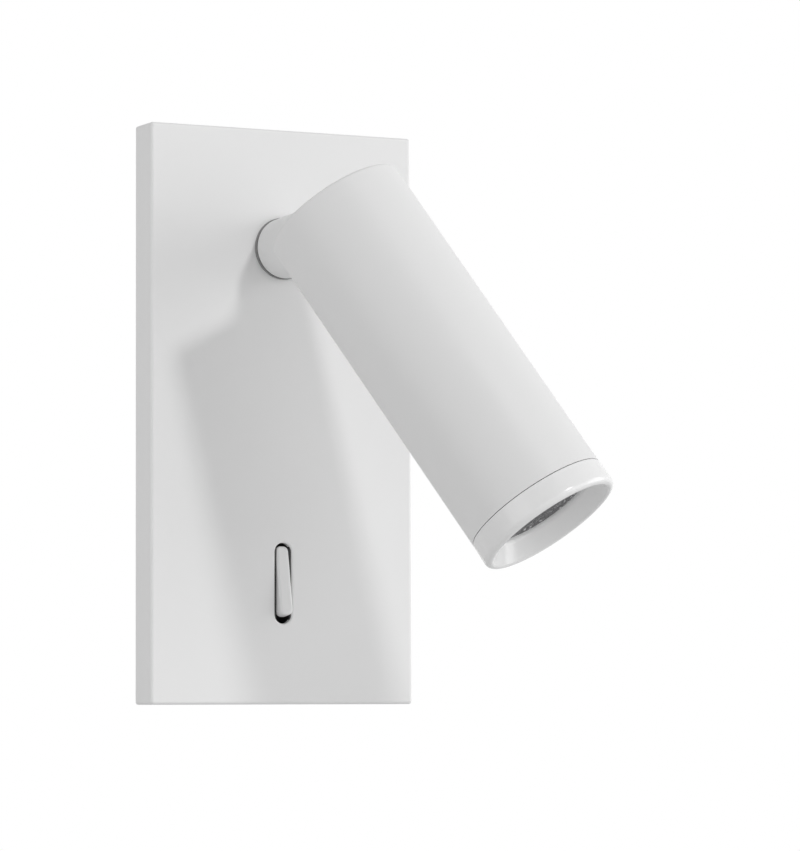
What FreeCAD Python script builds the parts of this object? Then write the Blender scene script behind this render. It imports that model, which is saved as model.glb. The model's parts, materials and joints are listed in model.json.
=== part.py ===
import FreeCAD, Part
import math
import os
import re
import Sketcher
from FreeCAD import Placement, Rotation, Vector

# A bedside wall reading lamp: a shallow wall plate with a rocker switch, a neck that swivels in the plate and a
# tube-shaped head that tilts on the neck. X runs to the right along the plate, Y into the wall and Z up. The
# origin is on the wall, midway between the two wall screws. Lengths are millimetres and angles are degrees.

SIZES = {
    # Wall plate: a shallow tray, open towards the wall.
    "plate_width": 80,
    "plate_height": 160,
    "plate_depth": 10.5,
    "plate_skin": 2,
    "plate_wall": 2,
    "plate_front_round": 0.85,
    "plate_corner_round": 0.8,
    # Wall bracket: sheet steel on the wall, inside the tray.
    "bracket_sheet": 1.2,
    "bracket_play": 0.4,
    "bracket_corner": 3,
    "lug_width": 14,
    "lug_depth": 7.6,
    "wall_screw_spacing": 60,
    "wall_slot_length": 9,
    "wall_slot_width": 4.5,
    "neck_window": 11,
    # Cover screws: one through the top wall and one through the bottom wall, into the bracket's lugs.
    "cover_screw_radius": 2,
    "cover_screw_from_wall": 5,
    "cover_screw_recess": 0.3,
    "cover_screw_past_lug": 0.4,
    "cover_boss_width": 9,
    "cover_boss_depth": 2.2,
    "lug_to_boss": 0.3,
    "socket_radius": 1,
    "socket_depth": 2.5,
    # Cable entry: a rubber grommet in a raised ring of the bracket.
    "entry_ring_radius": 11,
    "entry_ring_wall": 1.4,
    "entry_ring_rise": 1.2,
    "entry_hole_radius": 6.5,
    "grommet_flange_radius": 8.6,
    "grommet_flange": 1,
    "grommet_bore_radius": 3.5,
    # Clearances shared by many pieces.
    "thread_gap": 0.03,
    "seat_gap": 0.05,
    "running_gap": 0.05,
    "side_gap": 0.3,
    # Neck: its axis stands square to the plate.
    "neck_from_top": 33.35,
    "swivel_rest": 25.2,
    "neck_radius": 8.4,
    "neck_shoulder_radius": 9.25,
    "neck_foot_round": 0.4,
    "neck_shoulder_round": 1.6,
    "neck_length": 19.5,
    "neck_foot_gap": 1.1,
    "friction_washer_radius": 8.6,
    "friction_washer_thickness": 1.05,
    "shank_radius": 5,
    "shank_flat": 4.2,
    "neck_bore_radius": 1.6,
    "slide_washer_radius": 7.2,
    "slide_washer_thickness": 0.5,
    "stop_washer_thickness": 0.8,
    "stop_tab_reach": 9.6,
    "stop_tab_width": 2.45,
    "stop_boss_from_axis": 8.6,
    "stop_boss_radius": 0.9,
    "wave_washer_radius": 7,
    "wave_washer_thickness": 0.6,
    "neck_nut_across": 14,
    "neck_nut_thickness": 2.2,
    "shank_past_nut": 0.3,
    # Tilt hinge: a tongue of the neck between two cheeks inside the head.
    "pivot_reach": 42.5,
    "tilt_rest": 25.55,
    "tongue_thickness": 7,
    "tongue_half_width": 7,
    "tilt_bolt_radius": 3,
    "tilt_bolt_head_radius": 5,
    "tilt_bolt_head": 2.2,
    "cheek_gap": 0.4,
    "cheek_thickness": 3.5,
    "cheek_half_width": 8,
    "tilt_washer_radius": 5.6,
    "tilt_washer_thickness": 0.5,
    "spring_washer_thickness": 0.8,
    "tilt_nut_across": 10,
    "tilt_nut_thickness": 2.2,
    # Head: a tube closed at its rear, with a slot for the tongue.
    "head_radius": 20,
    "head_length": 99,
    "head_behind_pivot": 8,
    "head_wall": 2,
    "head_rear_wall_extra": 0.7,
    "head_rear_skin": 2.2,
    "head_rear_round": 0.8,
    "head_slot_play": 0.4,
    "head_slot_past_tongue": 0.6,
    "yoke_disc_thickness": 5,
    "yoke_disc_from_pivot": 11,
    "yoke_screw_radius": 1.5,
    "yoke_screw_length": 6.5,
    "yoke_screw_recess": 0.3,
    # Heat sink and light source.
    "sink_length": 26,
    "sink_base": 5,
    "sink_core_radius": 11,
    "sink_fins": 12,
    "sink_slot": 2.2,
    "sink_from_seam": 13,
    "board_radius": 11,
    "board_thickness": 1.6,
    "board_screw_radius": 1.25,
    "board_screw_head_radius": 2.2,
    "board_screw_head": 1,
    "board_screw_length": 5,
    "board_screw_from_axis": 8.2,
    "chip_side": 9,
    "chip_thickness": 0.6,
    "chip_dome_radius": 3.6,
    "chip_dome": 0.4,
    # Lens, its holder, its gasket and the bezel screwed into the tube's front.
    "lens_face_radius": 13.85,
    "lens_flange_radius": 15.6,
    "lens_flange": 1.4,
    "lens_face_rise": 0.9,
    "lens_tail_radius": 5,
    "holder_wall": 0.9,
    "gasket_thickness": 0.4,
    "bezel_length": 7.3,
    "bezel_lip_radius": 20.25,
    "bezel_outer_round": 1.5,
    "bezel_inner_round": 1,
    "bezel_mouth_radius": 18.2,
    "bezel_throat_radius": 14.15,
    "bezel_throat_depth": 4.9,
    "bezel_throat_land": 1.45,
    "bezel_throat_round": 2.4,
    "bezel_seam": 0.22,
    "bezel_spigot": 7,
    "bezel_thread_gap": 0.1,
    # Rocker switch.
    "switch_from_bottom": 33.5,
    "slot_width": 5.1,
    "slot_length": 22.4,
    "slot_round": 0.6,
    "rocker_width": 3.8,
    "rocker_length": 19.35,
    "rocker_thickness": 3.6,
    "rocker_corner": 1.5,
    "rocker_edge": 0.7,
    "rocker_face_from_pin": 4.9,
    "rocker_hub_radius": 1.9,
    "rocker_nose_reach": 2.9,
    "rocker_nose_width": 1.6,
    "rocker_tilt": 9.7,
    "pin_depth": 3.9,
    "pin_radius": 0.75,
    "housing_width": 9.2,
    "housing_length": 28,
    "housing_floor": 1.4,
    "rail_recess": 0.55,
    "housing_cavity_width": 4.1,
    "housing_cavity_length": 23.2,
    "ear_length": 6,
    "ear_width": 6,
    "ear_thickness": 2,
    "pad_radius": 2.5,
    "pad_height": 2,
    "pad_from_middle": 17.2,
    "switch_screw_radius": 1,
    "switch_screw_head_radius": 1.9,
    "switch_screw_head": 1.2,
    "contact_thickness": 0.3,
    "contact_width": 3,
    "tab_length": 2.8,
    "tab_width": 3,
    "tab_thickness": 0.6,
    "tab_from_middle": 8,
    # Driver: a slim case on the bracket, left of the switch.
    "driver_width": 24,
    "driver_length": 60,
    "driver_left_gap": 1.5,
    "driver_bottom_gap": 4,
    "driver_wall": 1,
    "driver_lid": 0.8,
    "driver_top_gap": 0.5,
    "driver_board": 1.2,
    "coil_length": 12,
    "coil_width": 10,
    "capacitor_radius": 1.7,
    "capacitor_length": 14,
    # Terminal block, right of the switch, with its earth tag.
    "block_width": 24,
    "block_length": 14,
    "block_right_gap": 3,
    "block_above_switch": 0.5,
    "block_top_gap": 0.8,
    "terminal_screw_radius": 1.5,
    "terminal_pitch": 7.5,
    "terminal_screw_depth": 3,
    "terminal_screw_recess": 0.4,
    "earth_screw_x": 17,
    "earth_screw_z": 20,
    "earth_screw_radius": 2,
    "earth_screw_head_radius": 3.6,
    "earth_screw_head": 2,
    "lug_tongue_radius": 4,
    "lug_tongue_thickness": 0.8,
    "lug_barrel_radius": 1.4,
    "lug_barrel_length": 4,
    "lug_strap_width": 2,
    # Leads and the low-voltage cable.
    "lead_diameter": 1.8,
    "cable_diameter": 2.2,
    "lead_bend": 6,
    "joint_gap": 0.3,
}

# Heights on the plate that follow from its edges and from the switch's place.
HEIGHTS = {
    "neck_rise": "=plate_height / 2 - neck_from_top",
    "switch_drop": "=plate_height / 2 - switch_from_bottom",
    "block_top": "=switch_drop - housing_length / 2 - block_above_switch - block_length",
}
ALIASES = {**SIZES, **HEIGHTS}
MATCH = 0.02
NODES = {}

doc = FreeCAD.newDocument("wall_reading_lamp")
sheet = doc.addObject("Spreadsheet::Sheet", "Sizes")
for row, (alias, size) in enumerate(ALIASES.items(), start=1):
    sheet.set("A%d" % row, alias.replace("_", " "))
    sheet.set("B%d" % row, str(size))
    sheet.setAlias("B%d" % row, alias)
doc.recompute()


def cells(text):
    """Expression text with each size's name turned into its cell in the sheet."""
    return re.sub(r"[a-z_]+", lambda word: "Sizes." + word[0] if word[0] in ALIASES else word[0], text)


def value(text):
    """The number that an expression of the sizes gives now."""
    return float(sheet.evalExpression(cells(text)))


def point(x, y, z):
    return Vector(value(x), value(y), value(z))


def bind(thing, **expressions):
    """Tie properties of an object to expressions of the sizes."""
    for name, text in expressions.items():
        thing.setExpression(name, cells(text))


# Places of the moving assemblies, as expressions: the neck's foot on the plate's face, the tilt pivot at the
# neck's end, the slot's middle on the plate's face and the rocker's pin.
NECK = "placement(vector(0; -plate_depth; neck_rise); rotation(vector(0; 1; 0); -swivel_rest))"
NECK_UPRIGHT = "placement(vector(0; -plate_depth; neck_rise); rotation(vector(0; 1; 0); 0))"
HEAD = NECK + " * placement(vector(0; -pivot_reach; 0); rotation(vector(1; 0; 0); -tilt_rest))"
SWITCH = "placement(vector(0; -plate_depth; -switch_drop); rotation(vector(1; 0; 0); 0))"
ROCKER = SWITCH + " * placement(vector(0; pin_depth; 0); rotation(vector(1; 0; 0); -rocker_tilt))"


def node(thing, label, place=None):
    """Name a finished piece and put it in its place."""
    thing.Label = label
    if place:
        bind(thing, Placement=place)
    NODES[label] = thing
    return thing


# Part primitives: each is given its size and the place of its corner or foot as expressions.
AXES = {
    "+x": Rotation(Vector(0, 1, 0), 90),
    "-x": Rotation(Vector(0, 1, 0), -90),
    "+y": Rotation(Vector(1, 0, 0), -90),
    "-y": Rotation(Vector(1, 0, 0), 90),
    "+z": Rotation(),
    "-z": Rotation(Vector(1, 0, 0), 180),
}


def set_place(thing, at, axis="+z"):
    thing.Placement = Placement(Vector(), AXES[axis])
    for letter, text in zip("xyz", at):
        thing.setExpression("Placement.Base." + letter, cells(text))


def box(name, low, size):
    thing = doc.addObject("Part::Box", name)
    bind(thing, Length=size[0], Width=size[1], Height=size[2])
    set_place(thing, low)
    return thing


def cylinder(name, radius, height, at=("0", "0", "0"), axis="+z"):
    thing = doc.addObject("Part::Cylinder", name)
    bind(thing, Radius=radius, Height=height)
    set_place(thing, at, axis)
    return thing


def hexagon(name, across, height, at, axis):
    """A nut's blank: a hexagonal prism with its size across the flats."""
    thing = doc.addObject("Part::Prism", name)
    thing.Polygon = 6
    bind(thing, Circumradius=across + " / 2 / cos(30)", Height=height)
    set_place(thing, at, axis)
    return thing


def fuse(name, *things):
    thing = doc.addObject("Part::MultiFuse", name)
    thing.Shapes = list(things)
    return thing


def cut(name, base, *tools):
    thing = doc.addObject("Part::Cut", name)
    thing.Base = base
    thing.Tool = tools[0] if len(tools) == 1 else fuse(name + "_tools", *tools)
    return thing


def group(name, *things):
    """Like pieces that share one node stay separate solids."""
    thing = doc.addObject("Part::Compound", name)
    thing.Links = list(things)
    return thing


def ring(name, outer, inner, height, at, axis):
    return cut(name, cylinder(name + "_disc", outer, height, at, axis),
               cylinder(name + "_hole", inner, height, at, axis))


# Sketches and the features made from them.
def new_body(name):
    return doc.addObject("PartDesign::Body", name + "_body")


def sketch_on(body, name, role, height="0"):
    """A sketch on one of the body's origin planes, moved along the plane's normal by height."""
    sketch = body.newObject("Sketcher::SketchObject", name)
    plane = next(feature for feature in body.Origin.OriginFeatures if feature.Role == role)
    sketch.AttachmentSupport = (plane, [""])
    sketch.MapMode = "FlatFace"
    bind(sketch, **{"AttachmentOffset.Base.z": height})
    return sketch


def dimension(sketch, kind, geometry, spot, text):
    """One driven distance from the sketch's origin to a spot of a line or arc."""
    constraint = Sketcher.Constraint(kind, -1, 1, geometry, spot, value(text))
    index = sketch.addConstraint(constraint)
    sketch.setExpression("Constraints[%d]" % index, cells(text))


def radius_of(sketch, geometry, text):
    index = sketch.addConstraint(Sketcher.Constraint("Radius", geometry, value(text)))
    sketch.setExpression("Constraints[%d]" % index, cells(text))


def polygon(sketch, corners):
    """A closed outline of straight lines through corners given as pairs of expressions."""
    spots = [Vector(value(x), value(y), 0) for x, y in corners]
    first = sketch.GeometryCount
    count = len(spots)
    for start, end in zip(spots, spots[1:] + spots[:1]):
        sketch.addGeometry(Part.LineSegment(start, end), False)
    for index in range(count):
        following = first + (index + 1) % count
        sketch.addConstraint(Sketcher.Constraint("Coincident", first + index, 2, following, 1))
    for index, (x, y) in enumerate(corners):
        dimension(sketch, "DistanceX", first + index, 1, x)
        dimension(sketch, "DistanceY", first + index, 1, y)


def rectangle(sketch, left, bottom, right, top):
    polygon(sketch, [(left, bottom), (right, bottom), (right, top), (left, top)])


def circle(sketch, x, y, radius):
    spot = Vector(value(x), value(y), 0)
    geometry = sketch.addGeometry(Part.Circle(spot, Vector(0, 0, 1), value(radius)), False)
    dimension(sketch, "DistanceX", geometry, 3, x)
    dimension(sketch, "DistanceY", geometry, 3, y)
    radius_of(sketch, geometry, radius)


def stadium(sketch, x, y, width, length, upright=True):
    """A slot with round ends about a middle point, upright or lying."""
    half = value("(%s - %s) / 2" % (length, width))
    end = value(width) / 2
    along = Vector(0, 1, 0) if upright else Vector(1, 0, 0)
    across = Vector(1, 0, 0) if upright else Vector(0, -1, 0)
    middle = Vector(value(x), value(y), 0)
    turn = 0 if upright else -math.pi / 2
    far = Part.Circle(middle + along * half, Vector(0, 0, 1), end)
    near = Part.Circle(middle - along * half, Vector(0, 0, 1), end)
    upper = sketch.addGeometry(Part.ArcOfCircle(far, turn, turn + math.pi), False)
    left = sketch.addGeometry(Part.LineSegment(middle + along * half - across * end,
                                               middle - along * half - across * end), False)
    lower = sketch.addGeometry(Part.ArcOfCircle(near, turn + math.pi, turn + 2 * math.pi), False)
    right = sketch.addGeometry(Part.LineSegment(middle - along * half + across * end,
                                                middle + along * half + across * end), False)
    for first, second in ((upper, left), (left, lower), (lower, right), (right, upper)):
        sketch.addConstraint(Sketcher.Constraint("Tangent", first, 2, second, 1))
    sketch.addConstraint(Sketcher.Constraint("Equal", upper, lower))
    radius_of(sketch, upper, width + " / 2")
    reach = "(%s - %s) / 2" % (length, width)
    for geometry, sign in ((upper, "+"), (lower, "-")):
        moved_x = x if upright else "%s %s %s" % (x, sign, reach)
        moved_y = "%s %s %s" % (y, sign, reach) if upright else y
        if geometry == upper or upright:
            dimension(sketch, "DistanceY", geometry, 3, moved_y)
        if geometry == upper or not upright:
            dimension(sketch, "DistanceX", geometry, 3, moved_x)


def feature(body, kind, name, sketch, length=None, side="One side", reverse=False):
    """A pad or pocket of a sketch. Without a length a pocket goes through all."""
    thing = body.newObject("PartDesign::" + kind, name)
    thing.Profile = sketch
    thing.SideType = side
    thing.Reversed = reverse
    if length is None:
        thing.Type = "ThroughAll"
    else:
        bind(thing, Length=length)
    return thing


def turned(body, name, sketch, kind="Revolution"):
    """A full turn of a half section about the sketch's upright axis."""
    thing = body.newObject("PartDesign::" + kind, name)
    thing.Profile = sketch
    thing.ReferenceAxis = (sketch, ["V_Axis"])
    thing.Angle = 360
    return thing


def rounded(body, name, radius, test):
    """Round every edge of the body that passes the test."""
    doc.recompute()
    base = body.Tip
    names = ["Edge%d" % number for number, edge in enumerate(base.Shape.Edges, start=1) if test(edge)]
    if not names:
        raise ValueError("no edge to round for " + name)
    thing = body.newObject("PartDesign::Fillet", name)
    thing.Base = (base, names)
    bind(thing, Radius=radius)
    return thing


def is_circle(edge, radius, height, axis):
    """True for a round edge of that radius whose centre lies at that height along an axis."""
    if edge.Curve.TypeId != "Part::GeomCircle":
        return False
    centre = getattr(edge.Curve.Center, axis)
    return abs(edge.Curve.Radius - value(radius)) < MATCH and abs(centre - value(height)) < MATCH


def runs_along(edge, length):
    """True for an edge as long in Y as a plate is thick."""
    return edge.BoundBox.YLength > value(length) - MATCH


def lies_in(edge, height):
    """True for an edge that lies in a plane square to Y."""
    return abs(edge.BoundBox.YMin - value(height)) < MATCH and edge.BoundBox.YLength < MATCH


# Cables: straight runs joined by tangent arcs.
def cable(label, points, diameter, bend, place=None):
    """A round cable through points, with arcs up to a given radius at its corners."""
    edges = []
    radii = []
    start = points[0]
    last = len(points) - 2
    for number, (before, corner, after) in enumerate(zip(points, points[1:], points[2:]), start=1):
        inward = (corner - before).normalize()
        outward = (after - corner).normalize()
        half_turn = inward.getAngle(outward) / 2
        room_before = (corner - before).Length * (0.9 if number == 1 else 0.45)
        room_after = (after - corner).Length * (0.9 if number == last else 0.45)
        reach = min(room_before, room_after, bend * math.tan(half_turn))
        radius = reach / math.tan(half_turn)
        radii.append(radius)
        enter = corner - inward * reach
        leave = corner + outward * reach
        middle = (outward - inward).normalize()
        crown = corner + middle * (radius / math.cos(half_turn) - radius)
        edges.append(Part.LineSegment(start, enter).toShape())
        edges.append(Part.Arc(enter, crown, leave).toShape())
        start = leave
    edges.append(Part.LineSegment(start, points[-1]).toShape())
    path = Part.Wire(edges)
    direction = (points[1] - points[0]).normalize()
    section = Part.Wire(Part.Circle(points[0], direction, diameter / 2).toShape())
    solid = path.makePipeShell([section], True, True)
    expected = math.pi * diameter ** 2 / 4 * path.Length
    print("%s: length %.1f, volume %.1f of %.1f, radii %s" %
          (label, path.Length, solid.Volume, expected, ", ".join("%.1f" % radius for radius in radii)))
    thing = doc.addObject("Part::Feature", label + "_solid")
    thing.Shape = solid
    return node(thing, label, place)


def borders_slot(edge):
    """An edge of the rocker's slot in the plate's face."""
    bounds = edge.BoundBox
    in_height = abs((bounds.ZMin + bounds.ZMax) / 2 + value("switch_drop")) < value("slot_length / 2")
    return lies_in(edge, "-plate_depth") and in_height and bounds.ZLength < value("slot_length")


# Wall plate: a shallow tray with a hole for the neck's shank, a slot for the rocker, a stop boss for the swivel,
# two pads for the switch and two bosses for the cover screws.
def make_wall_plate():
    body = new_body("wall_plate")
    outline = sketch_on(body, "plate_outline", "XZ_Plane")
    rectangle(outline, "-plate_width / 2", "-plate_height / 2", "plate_width / 2", "plate_height / 2")
    feature(body, "Pad", "plate_block", outline, "plate_depth")
    rounded(body, "plate_corners", "plate_corner_round", lambda edge: runs_along(edge, "plate_depth"))
    rounded(body, "plate_front_edges", "plate_front_round", lambda edge: lies_in(edge, "-plate_depth"))
    inside = sketch_on(body, "plate_inside", "XZ_Plane")
    rectangle(inside, "-plate_width / 2 + plate_wall", "-plate_height / 2 + plate_wall",
              "plate_width / 2 - plate_wall", "plate_height / 2 - plate_wall")
    feature(body, "Pocket", "plate_hollow", inside, "plate_depth - plate_skin", reverse=True)
    holes = sketch_on(body, "plate_holes", "XZ_Plane")
    circle(holes, "0", "neck_rise", "shank_radius + running_gap")
    stadium(holes, "0", "-switch_drop", "slot_width", "slot_length")
    feature(body, "Pocket", "plate_openings", holes, reverse=True)
    rounded(body, "slot_edge", "slot_round", borders_slot)
    boss = sketch_on(body, "stop_boss_outline", "XZ_Plane", "plate_depth - plate_skin")
    circle(boss, "0", "neck_rise + stop_boss_from_axis", "stop_boss_radius")
    feature(body, "Pad", "stop_boss", boss, "slide_washer_thickness + stop_washer_thickness + 2 * seat_gap",
            reverse=True)
    pads = sketch_on(body, "switch_pad_outline", "XZ_Plane", "plate_depth - plate_skin")
    circle(pads, "0", "-switch_drop + pad_from_middle", "pad_radius")
    circle(pads, "0", "-switch_drop - pad_from_middle", "pad_radius")
    feature(body, "Pad", "switch_pads", pads, "pad_height", reverse=True)
    pad_holes = sketch_on(body, "switch_pad_holes", "XZ_Plane", "plate_depth - plate_skin - pad_height")
    circle(pad_holes, "0", "-switch_drop + pad_from_middle", "switch_screw_radius + thread_gap")
    circle(pad_holes, "0", "-switch_drop - pad_from_middle", "switch_screw_radius + thread_gap")
    feature(body, "Pocket", "switch_screw_holes", pad_holes, "pad_height + plate_skin / 2", reverse=True)
    bosses = sketch_on(body, "cover_boss_outline", "XZ_Plane", "plate_depth - plate_skin")
    for sign in ("", "-"):
        low = "%s(plate_height / 2 - plate_wall - cover_boss_depth)" % sign
        high = "%s(plate_height / 2 - plate_wall)" % sign
        rectangle(bosses, "-cover_boss_width / 2", low, "cover_boss_width / 2", high)
    feature(body, "Pad", "cover_bosses", bosses, "plate_depth - plate_skin - bracket_sheet - bracket_play",
            reverse=True)
    screw_holes = sketch_on(body, "cover_screw_hole_outline", "XY_Plane")
    circle(screw_holes, "0", "-cover_screw_from_wall", "cover_screw_radius + thread_gap")
    feature(body, "Pocket", "cover_screw_holes", screw_holes, "plate_height + 2", side="Symmetric")
    return node(body, "wall_plate")


# Wall bracket: sheet steel with two wall slots, a raised ring round the cable entry, a window behind the neck and
# a lug bent forward at each end for the cover screw.
def make_wall_bracket():
    body = new_body("wall_bracket")
    half_width = "(plate_width / 2 - plate_wall - bracket_play)"
    half_height = "(plate_height / 2 - plate_wall - cover_boss_depth - lug_to_boss)"
    outline = sketch_on(body, "bracket_outline", "XZ_Plane")
    rectangle(outline, "-" + half_width, "-" + half_height, half_width, half_height)
    feature(body, "Pad", "bracket_plate", outline, "bracket_sheet")
    rounded(body, "bracket_corners", "bracket_corner", lambda edge: runs_along(edge, "bracket_sheet"))
    lugs = sketch_on(body, "lug_outline", "XZ_Plane")
    for sign in ("", "-"):
        low = "%s(%s - bracket_sheet)" % (sign, half_height)
        high = "%s%s" % (sign, half_height)
        rectangle(lugs, "-lug_width / 2", low, "lug_width / 2", high)
    feature(body, "Pad", "bracket_lugs", lugs, "lug_depth")
    ring_outline = sketch_on(body, "entry_ring_outline", "XZ_Plane")
    circle(ring_outline, "0", "0", "entry_ring_radius")
    feature(body, "Pad", "entry_ring", ring_outline, "bracket_sheet + entry_ring_rise")
    recess = sketch_on(body, "entry_recess_outline", "XZ_Plane")
    circle(recess, "0", "0", "entry_ring_radius - entry_ring_wall")
    feature(body, "Pocket", "entry_recess", recess, "entry_ring_rise", reverse=True)
    holes = sketch_on(body, "bracket_holes", "XZ_Plane")
    circle(holes, "0", "0", "entry_hole_radius")
    circle(holes, "0", "neck_rise", "neck_window")
    circle(holes, "earth_screw_x", "earth_screw_z", "earth_screw_radius + thread_gap")
    stadium(holes, "-wall_screw_spacing / 2", "0", "wall_slot_width", "wall_slot_length", upright=False)
    stadium(holes, "wall_screw_spacing / 2", "0", "wall_slot_width", "wall_slot_length", upright=False)
    feature(body, "Pocket", "bracket_openings", holes, reverse=True)
    lug_holes = sketch_on(body, "lug_hole_outline", "XY_Plane")
    circle(lug_holes, "0", "-cover_screw_from_wall", "cover_screw_radius + running_gap")
    feature(body, "Pocket", "lug_holes", lug_holes, "plate_height", side="Symmetric")
    return node(body, "wall_bracket")


def make_cover_screws():
    """Socket set screws, one in the top wall and one in the bottom wall."""
    screws = []
    head = "(plate_height / 2 - cover_screw_recess)"
    length = ("(plate_wall - cover_screw_recess + cover_boss_depth + lug_to_boss + bracket_sheet"
              " + cover_screw_past_lug)")
    for name, sign, axis in (("upper", "", "-z"), ("lower", "-", "+z")):
        foot = ("0", "-cover_screw_from_wall", sign + head)
        stem = cylinder(name + "_cover_stem", "cover_screw_radius", length, foot, axis)
        socket = cylinder(name + "_cover_socket", "socket_radius", "socket_depth", foot, axis)
        screws.append(cut(name + "_cover_screw", stem, socket))
    return node(group("cover_screw_pair", *screws), "cover_screws")


def make_cable_grommet():
    """A turned rubber ring that grips the raised ring of the bracket."""
    body = new_body("cable_grommet")
    section = sketch_on(body, "grommet_section", "XY_Plane")
    polygon(section, [
        ("grommet_bore_radius", "-entry_ring_rise + grommet_flange"),
        ("grommet_flange_radius", "-entry_ring_rise + grommet_flange"),
        ("grommet_flange_radius", "-entry_ring_rise"),
        ("entry_hole_radius", "-entry_ring_rise"),
        ("entry_hole_radius", "-entry_ring_rise - bracket_sheet"),
        ("grommet_flange_radius", "-entry_ring_rise - bracket_sheet"),
        ("grommet_flange_radius", "-entry_ring_rise - bracket_sheet - grommet_flange"),
        ("grommet_bore_radius", "-entry_ring_rise - bracket_sheet - grommet_flange"),
    ])
    turned(body, "grommet_ring", section)
    return node(body, "cable_grommet")


# Terminal block on the bracket, with a row of screws, and the earth screw with its lug.
BLOCK_RIGHT = "(plate_width / 2 - plate_wall - block_right_gap)"
BLOCK_HEIGHT = "(plate_depth - plate_skin - bracket_sheet - block_top_gap)"
BARREL_Y = "(-bracket_sheet - lug_tongue_thickness / 2 - lug_barrel_radius)"
BARREL_LOW = "(earth_screw_z - earth_screw_head_radius - side_gap - lug_barrel_length)"


def make_terminal_block():
    low = (BLOCK_RIGHT + " - block_width", "-bracket_sheet - " + BLOCK_HEIGHT, "-block_top - block_length")
    block = box("block_shell", low, ("block_width", BLOCK_HEIGHT, "block_length"))
    wells = []
    screws = []
    for number in range(3):
        x = "%s - block_width / 2 + %d * terminal_pitch" % (BLOCK_RIGHT, number - 1)
        front = (x, "-bracket_sheet - " + BLOCK_HEIGHT, "-block_top - block_length / 2")
        wells.append(cylinder("terminal_well_%d" % number, "terminal_screw_radius + thread_gap",
                              "terminal_screw_depth", front, "+y"))
        seat = (x, "-bracket_sheet - %s + terminal_screw_recess" % BLOCK_HEIGHT, front[2])
        stem = cylinder("terminal_stem_%d" % number, "terminal_screw_radius",
                        "terminal_screw_depth - terminal_screw_recess", seat, "+y")
        groove = box("terminal_groove_%d" % number,
                     (x + " - terminal_screw_radius", seat[1], seat[2] + " - 0.3 * terminal_screw_recess"),
                     ("2 * terminal_screw_radius", "terminal_screw_recess", "0.6 * terminal_screw_recess"))
        screws.append(cut("terminal_screw_%d" % number, stem, groove))
    node(cut("block_body", block, *wells), "terminal_block")
    node(group("terminal_screw_row", *screws), "terminal_screws")


def make_earth_tag():
    at = ("earth_screw_x", "-bracket_sheet", "earth_screw_z")
    tongue = cylinder("earth_tongue", "lug_tongue_radius", "lug_tongue_thickness", at, "-y")
    strap = box("earth_strap", ("earth_screw_x - lug_strap_width / 2", "-bracket_sheet - lug_tongue_thickness",
                                BARREL_LOW),
                ("lug_strap_width", "lug_tongue_thickness", "earth_screw_z - %s" % BARREL_LOW))
    barrel = cylinder("earth_barrel", "lug_barrel_radius", "lug_barrel_length",
                      ("earth_screw_x", BARREL_Y, BARREL_LOW), "+z")
    hole = cylinder("earth_tongue_hole", "earth_screw_radius + running_gap", "lug_tongue_thickness", at, "-y")
    node(cut("earth_lug_body", fuse("earth_lug_blank", tongue, strap, barrel), hole), "earth_lug")
    foot = ("earth_screw_x", "0", "earth_screw_z")
    stem = cylinder("earth_stem", "earth_screw_radius", "bracket_sheet + lug_tongue_thickness + seat_gap",
                    foot, "-y")
    head_foot = ("earth_screw_x", "-bracket_sheet - lug_tongue_thickness - seat_gap", "earth_screw_z")
    head = cylinder("earth_head", "earth_screw_head_radius", "earth_screw_head", head_foot, "-y")
    recess_foot = ("earth_screw_x", head_foot[1] + " - earth_screw_head", "earth_screw_z")
    recess = hexagon("earth_recess", "earth_screw_radius", "earth_screw_head / 2", recess_foot, "+y")
    node(cut("earth_screw_body", fuse("earth_screw_blank", stem, head), recess), "earth_screw")


# Driver: a slim plastic case on the bracket with a board, a coil and a capacitor under a lid.
DRIVER_LEFT = "(-plate_width / 2 + plate_wall + driver_left_gap)"
DRIVER_LOW = "(-plate_height / 2 + plate_wall + driver_bottom_gap)"
DRIVER_HEIGHT = "(plate_depth - plate_skin - bracket_sheet - driver_top_gap)"


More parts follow.
